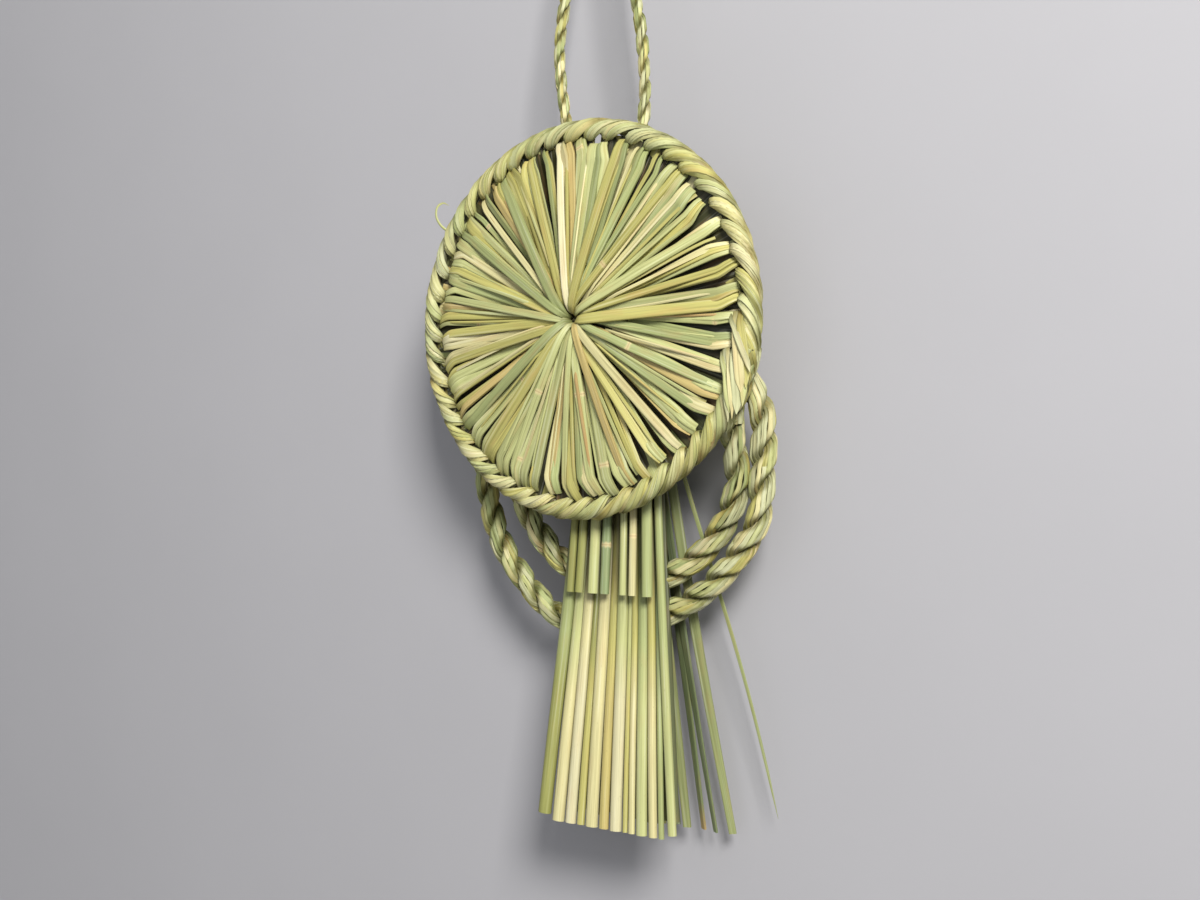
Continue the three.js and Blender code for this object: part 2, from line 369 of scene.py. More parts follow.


# %% [markdown]
# ## Smooth routes
# A rope's route is a short list of given points. A Catmull-Rom curve passes through
# all of them without corners. Its points are then spaced evenly, and a frame that doesn't spin
# is carried along it, so that a strand can be wound round it.

# %% Curves through points
def smooth_line(points, step=1.0):
    """Evenly spaced points on the curve through points, which all lie on it."""
    points = np.asarray(points, float)
    padded = np.vstack([2 * points[0] - points[1], points, 2 * points[-1] - points[-2]])
    knots = np.concatenate([[0], np.cumsum(np.linalg.norm(np.diff(padded, axis=0), axis=1) ** 0.5)])
    fine = []
    for i in range(1, len(padded) - 2):
        p0, p1, p2, p3 = padded[i - 1 : i + 3]
        t0, t1, t2, t3 = knots[i - 1 : i + 3]
        t = np.linspace(t1, t2, 24, endpoint=i == len(padded) - 3)[:, None]
        a1 = (t1 - t) / (t1 - t0) * p0 + (t - t0) / (t1 - t0) * p1
        a2 = (t2 - t) / (t2 - t1) * p1 + (t - t1) / (t2 - t1) * p2
        a3 = (t3 - t) / (t3 - t2) * p2 + (t - t2) / (t3 - t2) * p3
        b1 = (t2 - t) / (t2 - t0) * a1 + (t - t0) / (t2 - t0) * a2
        b2 = (t3 - t) / (t3 - t1) * a2 + (t - t1) / (t3 - t1) * a3
        fine.append((t2 - t) / (t2 - t1) * b1 + (t - t1) / (t2 - t1) * b2)
    fine = np.vstack(fine)
    reach = np.concatenate([[0], np.cumsum(np.linalg.norm(np.diff(fine, axis=0), axis=1))])
    at = np.linspace(0, reach[-1], max(2, round(reach[-1] / step) + 1))
    return np.stack([np.interp(at, reach, fine[:, k]) for k in range(3)], axis=1)


def carried_frame(line):
    """The direction of a line and two directions across it that don't spin along it."""
    ahead = unit(np.gradient(line, axis=0))
    across = np.zeros_like(line)
    start = np.array([0.0, 1.0, 0.0])
    across[0] = unit(start - ahead[0] * (start @ ahead[0]))
    for i in range(1, len(line)):
        carried = across[i - 1] - ahead[i] * (across[i - 1] @ ahead[i])
        across[i] = unit(carried)
    return ahead, across, np.cross(ahead, across)


def length_of(line):
    return float(np.linalg.norm(np.diff(line, axis=0), axis=1).sum())


# %% [markdown]
# ## Twisted rope and cord
# Both are two strands wound round each other to the right, so the strands climb like the
# stroke of a Z. The strands press on each other, so a strand's section is an oval, not a
# circle. Inside a strand the straws are twisted the other way, which keeps a rope from
# unwinding: seen from outside they run almost along the rope, and dive into the groove at both
# sides of each lobe. A straw is far shorter than the rope, so it ends inside the strand and the
# next takes over.

# %% Wind two strands of straws
COUNTER_TWIST = 1.35  # turns of a straw back round its strand, for each turn of the rope
STRAND_OFFSET = 0.48  # from the rope's middle to a strand's, over the rope's radius


def twisted_straws(line, radius, pitch, straws_round, straw_length, colour_of, pattern):
    """Straws wound as two strands round a line. Returns the separate straws."""
    _, across, aside = carried_frame(line)
    distance = np.concatenate([[0], np.cumsum(np.linalg.norm(np.diff(line, axis=0), axis=1))])
    depth = 0.24 * radius
    oval_out, oval_side = 0.52 * radius - depth / 2, 0.76 * radius - depth / 2
    round_oval = math.pi * (oval_out + oval_side)
    width = 1.3 * round_oval / straws_round
    made = []
    for strand in range(2):
        turn = 2 * math.pi * distance / pitch + math.pi * strand
        out = np.cos(turn)[:, None] * across + np.sin(turn)[:, None] * aside
        side = -np.sin(turn)[:, None] * across + np.cos(turn)[:, None] * aside
        middle = line + out * STRAND_OFFSET * radius
        for place in range(straws_round):
            own = 2 * math.pi * (place / straws_round - COUNTER_TWIST * distance / pitch)
            own = own + 0.12 * np.sin(distance / 5 + place)
            shift = np.cos(own)[:, None] * out * oval_out + np.sin(own)[:, None] * side * oval_side
            away = unit(
                np.cos(own)[:, None] * out * oval_side + np.sin(own)[:, None] * side * oval_out
            )
            begin = -rng.uniform(0, straw_length)
            while begin < distance[-1] - 6:
                end = begin + straw_length * rng.uniform(0.8, 1.2)
                inside = (distance >= begin) & (distance <= end)
                here = distance[inside]
                if len(here) > 6:
                    sink = np.zeros(len(here))
                    if begin > 0:
                        sink = np.maximum(sink, 1 - (here - begin) / (1.2 * radius))
                    if end < distance[-1]:
                        sink = np.maximum(sink, 1 - (end - here) / (1.2 * radius))
                    rise = rng.uniform(-0.05, 0.04) * radius
                    lift = rise - np.clip(sink, 0, 1) * 0.3 * radius
                    # Painted shade: a straw darkens where it turns down into the groove between the
                    # strands.
                    groove = np.clip(0.85 - 1.5 * np.cos(own[inside]), 0, 1)
                    made.append(
                        lay(
                            pattern,
                            (middle + shift)[inside] + away[inside] * lift[:, None],
                            away[inside],
                            width * rng.uniform(0.72, 1.1),
                            depth * rng.uniform(0.85, 1.2),
                            with_painted_shade(colour_of(), groove),
                            roll=rng.uniform(-0.25, 0.25),
                        )
                    )
                begin = end - 1.5 * radius
    return made


# %% Rope loops: from the braid's tail, two turns, to the fold behind the disc
ROPE_ROUTE = [
    [54.2, -2.4, -189],
    [54.0, -1.6, -194],
    [54.6, 0, -201.5],
    [54.2, 2, -210],
    [51.9, 3, -218],
    [48, 4, -224.5],
    [38.6, 4, -236],
    [25, 4, -244],
    [9, 4, -248],
    [-6, 4, -246],
    [-17.8, 4, -240.7],
    [-27, 4, -233],
    [-36, 4, -220],
    [-41, 4, -205],
    [-41, 4, -189],
    [-36.5, 4, -175],
    [-27, 4, -163.5],
    [-13, 4, -155.5],
    [3, 4, -152.5],
    [20, 4, -153.5],
    [36, 4, -159],
    [48.5, 3.6, -167.5],
    [58, 3, -177.5],
    [62.2, 2.5, -184],
    [63.6, 2.4, -193],
    [62.6, 3.4, -207],
    [61, 4, -222.5],
    [53.5, 4, -235],
    [40, 4, -248.5],
    [25, 4, -257],
    [8, 4, -262.5],
    [-8, 4, -263.5],
    [-23.2, 4, -259],
    [-36, 4, -248.5],
    [-46.3, 4, -235.5],
    [-52.5, 4, -219],
    [-55, 4, -203],
    [-53, 4, -186],
    [-45.5, 4, -168],
    [-33, 4, -154],
    [-17, 4, -145.5],
    [-1, 4, -142.3],
    [15, 4, -142.5],
]
ROPE_RADIUS = 4.5
ROPE_PITCH = 23.5

rope_line = smooth_line(ROPE_ROUTE, step=1.1)
rope = join(
    "rope_loops_twisted",
    twisted_straws(rope_line, ROPE_RADIUS, ROPE_PITCH, 9, 80, rope_tone, rope_straw),
)
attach(rope, "root")
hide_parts("rope_loops")
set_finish(rope, "rope_straw")
print(f"rope: {length_of(rope_line):.0f} mm long")

# %% Hanging cord: from the knot up, over the hook and down again
CORD_ROUTE = [
    [0.5, 2, -122.6],
    [-4, 1, -112],
    [-9.5, 0, -98],
    [-14.6, 0, -79],
    [-17.4, 0, -57],
    [-16.4, 0, -44],
    [-14.3, 0, -33],
    [-12, 0, -20],
    [-10, 0, -8.4],
    [-6.9, 0, -1],
    [0.5, 0, 2.1],
    [7.9, 0, -1],
    [11, 0, -8.4],
    [12.4, 0, -20],
    [13.8, 0, -31],
    [15.2, 0, -41],
    [17.2, 0, -52],
    [18.4, 0, -63],
    [18.8, 0, -78],
    [17, 0, -92],
    [12, 1, -108],
    [5.8, 2, -122.6],
]
CORD_RADIUS = 2.1
CORD_PITCH = 15.8

cord_line = smooth_line(CORD_ROUTE, step=0.8)
hanging_cord = join(
    "hanging_cord_twisted",
    twisted_straws(cord_line, CORD_RADIUS, CORD_PITCH, 6, 50, rope_tone, rope_straw),
)
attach(hanging_cord, "root")
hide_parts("hanging_cord")
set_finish(hanging_cord, "cord_straw")
print(f"hanging cord: {length_of(cord_line):.0f} mm long")

# %% [markdown]
# ## The disc
# A hundred and twenty straws run from a small pit at the hub to the rim. At the rim they lie
# side by side, but near the hub there is room for only an eighth of them, so they pass under
# each other: every eighth straw is on top all the way in, the one midway between goes under
# those two, and the rest lie deeper still and end where nothing shows of them. Near the rim
# the straws gather in twos and threes, with dark slits between on the looser right side, and
# they kink just before they go under the braid.

# %% Front straws of the disc
GROUPS = 48
DISC_STRAWS = 120
LEVELS = [0, 3, 2, 3, 1, 3, 2, 3]  # of eight neighbours, from 0 on top
LEVEL_STARTS = [3.0, 4.8, 10.0, 19.0]
LEVEL_DROP = 1.15
FRONT_PROFILE = np.array([[2, -18.6], [4, -19.9], [7, -20.4], [12, -20.4], [22, -19.7],
                          [36, -18.5], [50, -16.8], [57, -15.6], [60, -14.9], [64, -13.4]])
MEAN_WIDTH = 2.75


def front_y(radius, level):
    """How far forward the straws of a level are at a radius."""
    apart = np.clip((58 - radius) / 26, 0, 1)
    return np.interp(radius, *FRONT_PROFILE.T) + LEVEL_DROP * level * apart


def polar(radius, angle, y):
    return np.stack([radius * np.cos(angle), y, DISC_CENTRE_Z + radius * np.sin(angle)], axis=-1)


def group_angle(group):
    return 2 * math.pi * (2.5 * group + 1.5) / DISC_STRAWS


def looseness(angle):
    """0 where the braid holds the straws tight, 1 at the lower right."""
    return 0.5 + 0.5 * math.cos(angle + math.radians(35))


group_bends = np.radians(
    rng.choice([-0.2, 0.2, 0.7, 1.2, 2.2], GROUPS) + rng.uniform(-0.3, 0.3, GROUPS)
)
group_kinks = rng.uniform(54.8, 57.6, GROUPS)


def disc_straw(k):
    group = int(k / 2.5)
    even_angle = 2 * math.pi * (k + 0.5) / DISC_STRAWS
    gathered = group_angle(group)
    loose = looseness(even_angle)
    angle = gathered + (even_angle - gathered) * (1 - 0.42 * loose) + rng.normal(0, 0.008)
    level = LEVELS[k % 8]
    start_radius = LEVEL_STARTS[level] * rng.uniform(0.85, 1.2)
    kink_radius = group_kinks[group] + rng.uniform(-0.5, 0.5) - dent(angle)
    outward = np.array([math.cos(even_angle), math.sin(even_angle)])
    beside = np.array([-outward[1], outward[0]])
    start = outward * start_radius + beside * (0.7 + rng.normal(0, 0.8))
    start_angle = math.atan2(start[1], start[0])
    kink = np.array([math.cos(angle), math.sin(angle)]) * kink_radius
    run = np.array([0, 0.04, 0.09, 0.16, 0.25, 0.36, 0.48, 0.6, 0.72, 0.83, 0.92, 0.985])
    flat = start + (kink - start) * run[:, None]
    radius = np.linalg.norm(flat, axis=1)
    bow = rng.uniform(-0.25, 0.15) * np.sin(math.pi * run)
    order = 0.55 * (k // 8 % 3) * np.clip((9 - radius) / 5, 0, 1)
    depth = front_y(radius, level) + bow + order
    body = np.stack([flat[:, 0], depth, DISC_CENTRE_Z + flat[:, 1]], axis=1)
    bend = group_bends[group] + (gathered - angle) * rng.uniform(0.1, 0.5)
    end_radius = np.array([0.4, 2.6, 4.6, 6.2]) + kink_radius
    end_y = np.interp(end_radius, *FRONT_PROFILE.T) + np.array([-0.05, 0.1, 0.5, 1.4])
    end = polar(end_radius, angle + bend * np.array([0.05, 0.45, 0.8, 1.0]), end_y)
    line = np.vstack([body, end])
    if level < 2:
        dive = polar(start_radius * 0.66, start_angle + 0.25, np.array(-16.2 + 0.5 * level))
        line = np.vstack([dive, line])
    sideways = np.array([-math.sin(angle), 0, math.cos(angle)])
    width = np.clip(rng.normal(MEAN_WIDTH, 0.7), 1.4, 4.0)
    lean = rng.uniform(-0.3, 0.3)
    colour = disc_tone()
    brightness = np.linspace(rng.uniform(0.9, 1.08), rng.uniform(0.85, 1.08), 20)
    ends = np.tile(colour, (20, 1)) * brightness[:, None]
    # Straws on top get painted shade at their start, where they dive into the pit at the hub.
    if level < 2:
        ends = with_painted_shade(ends, 1.2 - 0.7 * np.arange(20))
    return lay(
        pressed_straw,
        line,
        np.array([0, -1, 0]) + 0.1 * sideways,
        width * np.array([0.6, 0.85, 1, 1, 1, 1, 0.97, 0.8]),
        np.clip(0.42 * width, 0.8, 1.5) * np.array([0.7, 0.9, 1, 1, 1, 1, 0.95, 0.75]),
        ends,
        joint_at=rng.uniform(16, 48) if rng.uniform() < 0.15 else None,
        roll=[lean, lean + rng.uniform(-0.35, 0.35)],
    )


disc_straws = [disc_straw(k) for k in range(DISC_STRAWS)]

# %% Thin split straws between the wide ones
def thin_straw(k, count):
    angle = 2 * math.pi * (k + rng.uniform(-0.4, 0.4)) / count
    radius = np.linspace(rng.uniform(6, 16), rng.uniform(59, 61.5), 16) - dent(angle) * 0.8
    height = np.array([1.6, 0.7, *[0.0] * 12, 0.3, 1.4])
    y = front_y(radius, rng.uniform(0.2, 1.3)) + height - 0.1
    colour = tone([CREAM, YELLOW_GREEN, TAN, PALE_GREEN], [3, 3, 1.5, 2])
    line = polar(radius, angle + rng.normal(0, 0.02) * np.linspace(1, -0.3, 16), y)
    return lay(thin_split_straw, line, [0, -1, 0], rng.uniform(0.8, 1.5), 0.7, colour)


disc_straws += [thin_straw(k, 40) for k in range(40)]

# %% [markdown]
# Behind them two thin sheets of straws close the disc. The inner one only shows through the
# slits, and its tone is cut to a tenth as painted deep shade; the outer one is the disc's back.

# %% Sheets behind the front straws
def sheet_straw(k, count, y_hub, y_rim, facing, shade):
    angle = 2 * math.pi * (k + rng.uniform(-0.3, 0.3)) / count
    radius = np.linspace(3, 64.5 - dent(angle), 12)
    y = np.interp(radius, [3, 62], [y_hub, y_rim]) + rng.uniform(-0.35, 0.35)
    width = np.clip(rng.normal(4.0, 0.7), 2.6, 5.2)
    return lay(
        pressed_straw,
        polar(radius, np.full(12, angle) + rng.normal(0, 0.02), y),
        [0, facing, 0],
        width * np.array([0.5, 0.8, 1.1, 1.4]) * 84 / count,
        0.3 * width,
        disc_tone() * shade,
        roll=rng.uniform(-0.12, 0.12),
    )


# Painted shade: the inner sheet's tone is cut to a tenth.
disc_straws += [sheet_straw(k, 84, -14.0, -11.4, -1, 0.1) for k in range(84)]
disc_straws += [sheet_straw(k, 104, -10.3, -11.2, 1, 0.95) for k in range(104)]
disc = join("disc_of_straws", disc_straws)

# %% [markdown]
# ## The stub behind the hub
# The straws are bound in the middle before they are spread, so a short stub of their cut ends
# stands out behind the hub. It is filled the way seeds fill a flower: each culm a golden angle
# on from the last, a little further out.

# %% Stub of cut ends
STUB_RADIUS = 8.0
STUB_FROM_Y, STUB_TO_Y = -11.0, -4.6
GOLDEN_ANGLE = math.radians(137.5)
STUB_STRAWS = 34


def stub_straw(i):
    radius = (STUB_RADIUS - 1.1) * math.sqrt((i + 0.5) / STUB_STRAWS)
    angle = i * GOLDEN_ANGLE
    start = polar(radius, angle, STUB_FROM_Y)
    end = polar(radius * 0.96, angle, STUB_TO_Y - rng.uniform(0, 1.2))
    line = start + (end - start) * np.linspace(0, 1, 6)[:, None]
    return lay(culm, line, [math.cos(angle), 0, math.sin(angle)], 2.5, 2.1, disc_tone())


stub = join("stub_of_cut_ends", [stub_straw(i) for i in range(STUB_STRAWS)])
for piece in (disc, stub):
    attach(piece, "root")
    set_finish(piece, "disc_straw")
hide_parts("straw_disc")

# %% [markdown]
# ## The braided rim
# Each group of disc straws bends into the rim and winds once round it, over the front from the
# inner edge to the outer, so three wraps lie side by side at any place. Each wrap is one turn
# of a three-strand rope bent into a ring: a rounded core with three to five pressed straws over
# it, which start in a point between the disc's straws and fan out. At the lower right the
# braid was finished off, and the straws' ends stick out of it as pointed leaves.

# %% Wraps of the rim
WRAP_TURN = 2 * math.pi * 3 / GROUPS
STRAND_PLACE = 1.75
STRAND_RADIUS = 2.3


def rim_point(angle, around, out):
    """A point beside the ring's middle line: around is 0 outside, a quarter turn in front."""
    reach = RIM_RADIUS - dent(angle) + out * np.cos(around)
    return polar(reach, angle, RIM_PLANE_Y - out * np.sin(around))


def wrap_course(enter, run, swing):
    """Middle points, outward and sideways directions of a wrap, which crosses the inner edge
    steeply and runs along the outer one."""
    angle = enter - WRAP_TURN * (run - 0.65 * np.sin(2 * math.pi * run) / (2 * math.pi))
    around = math.pi * 1.04 - 2 * math.pi * run + swing
    middle = rim_point(angle, around, STRAND_PLACE)
    away = unit(rim_point(angle, around, 10.0) - rim_point(angle, around, 0.0))
    side = unit(np.cross(away, unit(np.gradient(middle, axis=0))))
    return middle, away, side


def wrap(group):
    enter = group_angle(group) + rng.normal(0, 0.008)
    degrees = (math.degrees(enter) + 180) % 360 - 180
    leafy = -112 < degrees < 4
    swing = rng.uniform(-0.12, 0.12)
    run = np.linspace(-0.05, 1.12, 30)
    middle, away, side = wrap_course(enter, run, swing)
    tuck = np.clip(np.minimum((run + 0.05) / 0.1, (1.12 - run) / 0.2), 0.05, 1)
    base = braid_tone()
    # Painted shade: the core's tone is cut to about a third, so the gaps between the wraps look
    # dark.
    straws = [lay(split_straw, middle, away, 3.3 * tuck, 3.3 * tuck, base * 0.35)]
    count = rng.choice([3, 4, 5])
    for i in range(count):
        step = (2 * i / (count - 1) - 1)
        last = rng.uniform(0.5, 0.68) if leafy and rng.uniform() < 0.75 else rng.uniform(0.98, 1.1)
        own_run = np.linspace(rng.uniform(-0.03, 0.02), last, 24)
        middle, away, side = wrap_course(enter, own_run, swing)
        fan = 0.42 + 0.58 * np.clip((own_run + 0.02) / 0.2, 0, 1)
        fan = fan * (1 - 0.25 * np.clip((own_run - 0.36) / 0.2, 0, 1))
        tilt = (0.98 * step * fan + rng.uniform(-0.1, 0.1))[:, None]
        facing = np.cos(tilt) * away + np.sin(tilt) * side
        depth = rng.uniform(0.55, 0.85)
        sunk = np.clip((own_run + 0.03) / 0.1, 0, 1)
        lift = (STRAND_RADIUS * rng.uniform(0.94, 1.08) - depth / 2) * (0.5 + 0.5 * sunk)
        if last < 0.9:
            lift = lift + 0.5 * np.clip((own_run - last + 0.2) / 0.2, 0, 1)
        colour = 0.5 * base + 0.5 * braid_tone()
        around = math.pi * 1.04 - 2 * math.pi * own_run
        # Painted shade where a straw turns down into the groove beside its wrap.
        groove = 1.6 * np.abs(np.cos(around)) ** 6 + 0.25 * np.abs(step)
        straws.append(
            lay(
                pressed_straw,
                middle + facing * lift[:, None],
                facing,
                rng.uniform(8.2, 9.8) / (count + 0.6) * (0.5 + 0.5 * sunk),
                depth,
                with_painted_shade(colour, groove - 0.6),
                tip=rng.uniform(3, 6) if last < 0.9 else 1.5,
                roll=rng.uniform(-0.3, 0.3),
            )
        )
    return straws


rim = join("braided_rim_wraps", [straw for group in range(GROUPS) for straw in wrap(group)])

# %% [markdown]
# ## The braid's tail
# At the right the last straws of the braid leave it and hang down over its front as flat
# pointed leaves. The rope starts under them, behind the rim.

# %% Leaves over the start of the rope
TAIL_ROUTE = [[65.6, -12, -166], [63.7, -11, -171.5], [60.2, -8, -178], [56.3, -4.6, -183],
              [54.7, -3.2, -187], [54.2, -2.4, -190]]
tail_line = smooth_line(TAIL_ROUTE, step=0.8)
tail_straws = twisted_straws(tail_line, 4.1, ROPE_PITCH, 8, 60, braid_tone, split_straw)

# Start and end as x and z, then width, colour, how far it stands off and its point's length.
LEAVES = [
    ((56.6, -167.0), (60.4, -187.5), 1.9, PALE_GREEN, 0.6, 5),
    ((57.6, -164.0), (59.6, -190.5), 2.1, HAY, 0.2, 7),
    ((59.0, -165.0), (61.2, -189.5), 1.8, CREAM, 0.5, 6),
    ((61.6, -164.5), (62.6, -188.0), 3.4, HAY, 0.1, 4),
    ((63.4, -164.5), (64.6, -185.5), 2.4, PALE_GREEN, -0.2, 5),
    ((61.6, -154.5), (64.4, -181.0), 3.3, CREAM, 0.5, 4),
    ((63.6, -154.5), (66.0, -179.6), 3.0, YELLOW_GREEN, 0.1, 5),
    ((59.8, -155.5), (68.0, -174.6), 1.9, HAY, 1.1, 3),
]


def leaf(start, end, width, colour, clear, point):
    run = np.linspace(0, 1, 20)
    x = start[0] + (end[0] - start[0]) * run + 0.9 * np.sin(math.pi * run)
    z = start[1] + (end[1] - start[1]) * run
    off = np.hypot(x, z - DISC_CENTRE_Z) - RIM_RADIUS
    over = np.sqrt(np.maximum((BRAID_RADIUS + 0.2) ** 2 - off**2, 0))
    y = RIM_PLANE_Y - np.maximum(over, 3.4) - clear + 2.2 * np.clip(0.14 - run, 0, 1) / 0.14
    line = np.stack([x, y, z], axis=1)
    around = polar(RIM_RADIUS - 5, np.arctan2(z - DISC_CENTRE_Z, x), np.full(20, -4.0))
    # Painted shade on the first quarter of each leaf, where it comes out from under the braid.
    return lay(pressed_straw, line, unit(line - around), width * np.array([0.6, 1, 1, 1]), 0.55,
               with_painted_shade(colour, 1 - 4 * run), tip=point, roll=rng.uniform(-0.15, 0.15))


tail_straws += [leaf(*entry) for entry in LEAVES]
tail = join("braid_tail_leaves", tail_straws)

# %% [markdown]
# ## A loose curl
# One split fibre has sprung out of the rim at the upper left and curls in the air.

# %% Curl
CURL_ROUTE = [[-58, -13, -118.5], [-61.5, -14.4, -115.5], [-63.2, -15, -112], [-62.6, -15, -108.6],
              [-60, -14.8, -107.4], [-57.4, -14.4, -108.6]]
curl_line = smooth_line(CURL_ROUTE, step=0.6)
curl = join(
    "loose_curl",
    [lay(split_straw, curl_line, [0, -1, 0], 1.0, 0.35, PALE_GREEN, tip=5)],
)
for piece in (rim, tail, curl):
    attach(piece, "root")
    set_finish(piece, "braid_straw")
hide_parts("braided_rim")

# %% [markdown]
# ## The skirt
# The skirt's straws are whole culms, nearly round and cut square at the tips, so here the
# hollow ends show. Each one runs where its solid does. In the neck they overlap in depth, so
# every other straw starts a little behind its neighbours.

# %% Straws of the skirt
def named(stem):
    return sorted(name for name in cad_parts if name.startswith(stem))


def skirt_straw(node, colour, order, joint=None, sway=0.0, swell=1.0, drop=0.0):
    """A culm along its solid. Odd ones start a little behind their neighbours."""
    top, tip_end, width = ends_mm(node)
    run = np.linspace(0, 1, 16)
    line = top + (tip_end - top) * run[:, None]
    line[:, 2] += 2.0 * (1 - run) ** 4
    line[:, 1] += (0.7 if order % 2 else -0.4) * (1 - run) + drop * np.sin(math.pi * run) ** 2
    line[:, 0] += sway * np.sin(math.pi * run * 1.2)
    taper = width * swell * np.array([0.66, 0.86, 0.95, 1.0, 1.0])
    joint_at = None if joint is None else joint * length_of(line)
    outwards = [rng.uniform(-0.25, 0.25), -1, 0]
    return lay(culm, line, outwards, taper, 0.76 * taper, colour, joint_at)


def fading(top, bottom):
    """Greener near the tie, riper towards the tip, with painted shade on the upper half where the
    short straws cover it.
    """
    # Painted shade: the upper half is cut to three tenths of its tone, then six tenths.
    shaded = 0.3 * top
    return [*[shaded] * 9, 0.6 * top, top, top, 0.5 * (top + bottom), *[bottom] * 6]


LONG_TONES = [
    fading(LEAF_GREEN, OLIVE * 1.15),
    fading(PALE_GREEN, CREAM),
    fading(CREAM, IVORY * 0.95),
    fading(OLIVE, YELLOW_GREEN),
    fading(CREAM, CREAM),
    fading(YELLOW_GREEN, 0.6 * GOLD + 0.4 * YELLOW_GREEN),
    fading(PALE_GREEN, IVORY * 0.93),
    fading(PALE_GREEN, YELLOW_GREEN),
    fading(YELLOW_GREEN, CREAM),
    fading(LEAF_GREEN, PALE_GREEN),
    fading(YELLOW_GREEN, CREAM),
    fading(SAGE, LEAF_GREEN),
]
LONG_SWELL = 1.12  # wide enough to nearly touch at the tips
long_straws = [
    skirt_straw(node, LONG_TONES[i], i, drop=1.2, swell=LONG_SWELL)
    for i, node in enumerate(named("front_long_straw"))
]

# %% A layer that fills the gaps behind, darkened with painted shade
def filler_straw(i, count):
    first, last = ends_mm("front_long_straw_01"), ends_mm("front_right_straw")
    share = (i + 0.5) / count
    top = first[0] + (last[0] - first[0]) * share + np.array([0, 2.4, 0])
    behind = np.array([0, 6 + 2.4 * (i % 2), rng.uniform(0, 3)])
    tip_end = first[1] + (last[1] - first[1]) * share + behind
    line = top + (tip_end - top) * np.linspace(0, 1, 16)[:, None]
    width = rng.uniform(3.0, 4.2)
    shade = tone([SAGE, OLIVE, LEAF_GREEN], [2, 2, 1])
    # Painted shade: the filler's tone is cut to between an eighth and a third, darkest at the top.
    painted_shade = shade * np.linspace(0.12, 0.3, 8)[:, None]
    return lay(culm, line, [0, -1, 0], width * np.array([0.55, 0.85, 1]), 0.7 * width, painted_shade)


FILLERS = 13
long_straws += [filler_straw(i, FILLERS) for i in range(FILLERS)]
long_layer = join("front_long_straws", long_straws)

# %% Short layer, right-hand straw, back layer and the loose blade
SHORT_TONES = [OLIVE, OLIVE * 1.1, PALE_GREEN, SAGE * 1.25, PALE_GREEN, CREAM * 0.95, LEAF_GREEN]
SHORT_JOINTS = [None, None, None, 0.8, None, 0.76, None]
short_layer = join(
    "front_short_straws",
    [
        skirt_straw(
            node, [SHORT_TONES[i] * 0.85, SHORT_TONES[i]], i, joint=SHORT_JOINTS[i], swell=1.06
        )
        for i, node in enumerate(named("front_short_straw"))
    ],
)
RIGHT_TONES = [LEAF_GREEN * 0.8, LEAF_GREEN, PALE_GREEN]
right_straw = join(
    "front_right_straw_culm",
    [skirt_straw("front_right_straw", RIGHT_TONES, 0, sway=-0.5, swell=1.08)],
)


def back_straw(i, node):
    """A blade: a culm pressed flat, a little narrower at both ends."""
    top, tip_end, width = ends_mm(node)
    run = np.linspace(0, 1, 18)
    line = top + (tip_end - top) * run[:, None]
    line[:, 0] += rng.uniform(-1.6, 0.6) * np.sin(math.pi * run)
    line[:, 1] += 1.4 * (i % 2) - 1.2
    colour = tone([SAGE, LEAF_GREEN, OLIVE], [5, 2, 1]) * rng.uniform(0.65, 1.0)
    # Each blade is darker towards its top.
    darker_towards_top = np.linspace(0.5, 1.0, 24)[:, None] * colour
    if i == 9:
        darker_towards_top[-1] = TAN
    taper = width * np.array([0.5, 0.9, 1.15, 1.2, 1.2, 1.1, 1.0, 0.9])
    return lay(pressed_straw, line, [rng.uniform(-0.6, 0.4), -1, 0], taper, 0.3 * width, darker_towards_top,
               roll=[0, rng.uniform(-0.6, 0.6)])


back_layer = join(
    "back_straws_flat",
    [back_straw(i, node) for i, node in enumerate(named("back_straw"))],
)
blade_top, blade_tip, blade_width = ends_mm("loose_blade")
run = np.linspace(0, 1, 18)
blade_line = blade_top + (blade_tip - blade_top) * run[:, None]
blade_line[:, 0] += 1.6 * np.sin(math.pi * run) - 0.7 * np.sin(2 * math.pi * run)
blade = join(
    "loose_blade_leaf",
    [
        lay(
            pressed_straw, blade_line, [-0.2, -1, 0], [1.9, 1.7, 1.5, 1.2, 0.8], 0.5, LEAF_GREEN,
            tip=12,
        )
    ],
)

SKIRT_PIECES = {
    long_layer: ("cream_skirt_straw", named("front_long_straw")),
    short_layer: ("green_skirt_straw", named("front_short_straw")),
    right_straw: ("green_skirt_straw", ["front_right_straw"]),
    back_layer: ("back_skirt_straw", named("back_straw")),
    blade: ("back_skirt_straw", ["loose_blade"]),
}
for piece, (finish, nodes) in SKIRT_PIECES.items():
    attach(piece, "root")
    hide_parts(*nodes)
    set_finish(piece, finish)

# %% [markdown]
# ## Behind the disc
# The skirt's bundle is folded over the rope, tied under the fold with a few turns of thin
# cord, and the hanging cord is knotted on top. None of this shows from the front.

# %% Fold of the bundle over the rope
fold_low, fold_high = box_mm("skirt_fold")
FOLD_THICKNESS = 2.4
FOLD_STRAWS = 13
fold_y = (fold_low[1] + fold_high[1]) / 2
fold_radius = (fold_high[1] - fold_low[1]) / 2 - FOLD_THICKNESS / 2
fold_top_z = fold_high[2] - fold_radius - FOLD_THICKNESS / 2
fold_low_z = fold_top_z - 11


